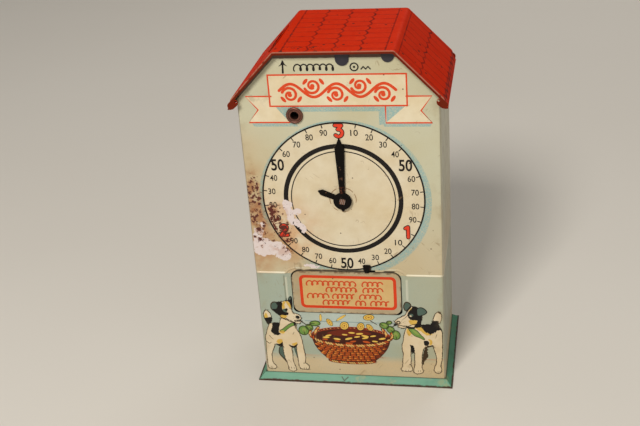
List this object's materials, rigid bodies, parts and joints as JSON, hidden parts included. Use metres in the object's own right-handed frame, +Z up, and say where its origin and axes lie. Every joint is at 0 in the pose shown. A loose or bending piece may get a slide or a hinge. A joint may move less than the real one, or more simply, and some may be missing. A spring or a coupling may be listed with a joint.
{
  "type": "tin money box",
  "caption": "House-shaped tin money box with a coin slot in the gabled roof, a coin-driven dial pointer on a ratchet, and a latched drop-down door in the front.",
  "frame": {"origin": "on the ground under the middle of the box", "axes": "+X across the front to the viewer's right, +Y from the front to the back, +Z up; the front faces -Y"},
  "size_m": [0.0862, 0.0584, 0.1524],
  "materials": {
    "case_print": "printed tin gloss",
    "roof_paint": "printed tin gloss",
    "base_paint": "worn enamel",
    "door_print": "printed tin gloss",
    "black_paint": "satin",
    "bare_tin": "dull tinplate",
    "dark_steel": "blued steel",
    "spring_steel": "satin",
    "brass": "tarnished",
    "copper_rivet": "dark patina"
  },
  "bodies": {
    "case": {"body_shell": "case_print", "back_panel": "case_print", "roof": "roof_paint", "base_skirt": "base_paint", "base_plate": "bare_tin", "mechanism_plate": "dark_steel", "lever_eyelet": "copper_rivet", "axle_bush": "brass", "coin_chute": "bare_tin", "chute_rivets": "spring_steel", "click_spring": "spring_steel", "stop_pins": "spring_steel", "lever_spring": "spring_steel", "latch_post": "brass", "latch_spring": "spring_steel", "hinge_bracket": "bare_tin", "hinge_pin": "spring_steel", "door_spring": "spring_steel"},
    "door": {"door_panel": "door_print", "door_catch": "bare_tin", "catch_rivets": "spring_steel"},
    "latch": {"latch_lever": "dark_steel"},
    "coin_lever": {"coin_lever": "dark_steel", "pawl_rivet": "brass", "pawl_spring": "spring_steel"},
    "pawl": {"pawl": "spring_steel"},
    "pointer": {"axle": "brass", "ratchet_wheel": "brass", "release_pin": "spring_steel", "wheel_collar": "brass", "long_hand": "black_paint", "short_hand": "black_paint", "hub_disc": "black_paint", "spacer_washer": "spring_steel"}
  },
  "joints": [
    {"name": "pointer_turn", "type": "hinge", "parent": "case", "child": "pointer", "pos_m": [0, -0.026, 0.0891], "axis": [0, 1, 0], "continuous": true},
    {"name": "coin_lever_swing", "type": "hinge", "parent": "case", "child": "coin_lever", "pos_m": [-0.017, -0.022, 0.1258], "axis": [0, -1, 0], "range_deg": [0, 9], "stiffness_Nm_per_rad": 0.002, "springref_deg": -17.19},
    {"name": "pawl_swing", "type": "hinge", "parent": "coin_lever", "child": "pawl", "pos_m": [-0.0145, -0.0232, 0.1065], "axis": [0, -1, 0], "range_deg": [0, 12], "stiffness_Nm_per_rad": 0.0002, "springref_deg": -17.19},
    {"name": "latch_swing", "type": "hinge", "parent": "case", "child": "latch", "pos_m": [0.00805, -0.022, 0.071], "axis": [0, -1, 0], "range_deg": [0, 8], "stiffness_Nm_per_rad": 0.002, "springref_deg": -17.19},
    {"name": "door_drop", "type": "hinge", "parent": "case", "child": "door", "pos_m": [-0.0012, -0.0246, 0.0378], "axis": [1, 0, 0], "range_deg": [0, 95]}
  ]
}
